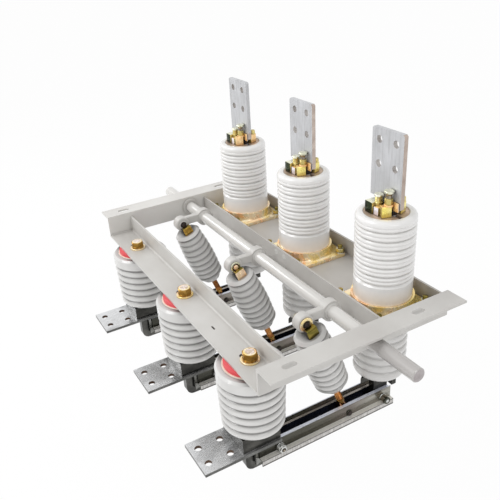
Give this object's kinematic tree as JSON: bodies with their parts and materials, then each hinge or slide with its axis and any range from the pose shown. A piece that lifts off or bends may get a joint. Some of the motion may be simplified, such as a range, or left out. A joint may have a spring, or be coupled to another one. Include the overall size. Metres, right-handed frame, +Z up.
{
  "type": "disconnect switch",
  "caption": "Indoor disconnect switch: a welded frame carries ribbed bushings behind and posts in front, and knife blades below swing open on insulating ties from a common shaft.",
  "frame": {"origin": "on the top face of the left end angle's flange, midway between its two slots", "axes": "+X along the row of phases, +Y from the front posts to the rear bushings, +Z up along the bushings"},
  "size_m": [0.922, 0.473, 0.571],
  "materials": {
    "frame_paint": "light grey paint, semi-gloss",
    "porcelain": "glazed porcelain, pale grey-white, opaque",
    "yellow_zinc": "yellow passivated zinc",
    "plated_copper": "tin plated copper",
    "plated_steel": "plated steel",
    "red_paint": "red paint"
  },
  "bodies": {
    "frame": {"end_angle_left": "frame_paint", "end_angle_right": "frame_paint", "front_beam": "frame_paint", "bushing_tray": "frame_paint", "bushing_1": "porcelain", "bushing_2": "porcelain", "bushing_3": "porcelain", "flange_plates": "yellow_zinc", "conductor_1": "plated_copper", "conductor_2": "plated_copper", "conductor_3": "plated_copper", "bore_pads": "plated_steel", "terminal_clamps": "yellow_zinc", "post_caps": "red_paint", "post_1": "porcelain", "post_2": "porcelain", "post_3": "porcelain", "post_seats": "plated_steel", "front_terminal_1": "plated_copper", "front_terminal_2": "plated_copper", "front_terminal_3": "plated_copper", "contact_tongues": "plated_copper", "pivot_contact_1": "plated_copper", "pivot_contact_2": "plated_copper", "pivot_contact_3": "plated_copper", "shaft_collars": "frame_paint"},
    "shaft": {"shaft": "frame_paint", "crank_1": "frame_paint", "crank_2": "frame_paint", "crank_3": "frame_paint"},
    "blade_1": {"blade_bars_1": "plated_copper", "lock_plates_1": "plated_steel", "blade_pins_1": "plated_steel"},
    "blade_2": {"blade_bars_2": "plated_copper", "lock_plates_2": "plated_steel", "blade_pins_2": "plated_steel"},
    "blade_3": {"blade_bars_3": "plated_copper", "lock_plates_3": "plated_steel", "blade_pins_3": "plated_steel"},
    "tie_1": {"tie_insulator_1": "porcelain", "tie_fittings_1": "plated_steel"},
    "tie_2": {"tie_insulator_2": "porcelain", "tie_fittings_2": "plated_steel"},
    "tie_3": {"tie_insulator_3": "porcelain", "tie_fittings_3": "plated_steel"}
  },
  "joints": [
    {"name": "shaft_turn", "type": "hinge", "parent": "frame", "child": "shaft", "pos_m": [0.358, 0.0345, -0.025], "axis": [1, 0, 0], "range_deg": [0, 70]},
    {"name": "blade_1_turn", "type": "hinge", "parent": "frame", "child": "blade_1", "pos_m": [0.108, 0.1455, -0.257], "axis": [1, 0, 0], "range_deg": [0, 50]},
    {"name": "blade_2_turn", "type": "hinge", "parent": "frame", "child": "blade_2", "pos_m": [0.358, 0.1455, -0.257], "axis": [1, 0, 0], "range_deg": [0, 50]},
    {"name": "blade_3_turn", "type": "hinge", "parent": "frame", "child": "blade_3", "pos_m": [0.608, 0.1455, -0.257], "axis": [1, 0, 0], "range_deg": [0, 50]},
    {"name": "tie_1_turn", "type": "hinge", "parent": "shaft", "child": "tie_1", "pos_m": [0.108, -0.026, -0.025], "axis": [1, 0, 0], "range_deg": [-73, 0]},
    {"name": "tie_2_turn", "type": "hinge", "parent": "shaft", "child": "tie_2", "pos_m": [0.358, -0.026, -0.025], "axis": [1, 0, 0], "range_deg": [-73, 0]},
    {"name": "tie_3_turn", "type": "hinge", "parent": "shaft", "child": "tie_3", "pos_m": [0.608, -0.026, -0.025], "axis": [1, 0, 0], "range_deg": [-73, 0]}
  ],
  "couplings": [
    {"joint": "blade_1_turn", "follows": "shaft_turn", "ratio": 0.70825},
    {"joint": "blade_2_turn", "follows": "shaft_turn", "ratio": 0.70825},
    {"joint": "blade_3_turn", "follows": "shaft_turn", "ratio": 0.70825},
    {"joint": "tie_1_turn", "follows": "shaft_turn", "ratio": -1.0346},
    {"joint": "tie_2_turn", "follows": "shaft_turn", "ratio": -1.0346},
    {"joint": "tie_3_turn", "follows": "shaft_turn", "ratio": -1.0346}
  ]
}
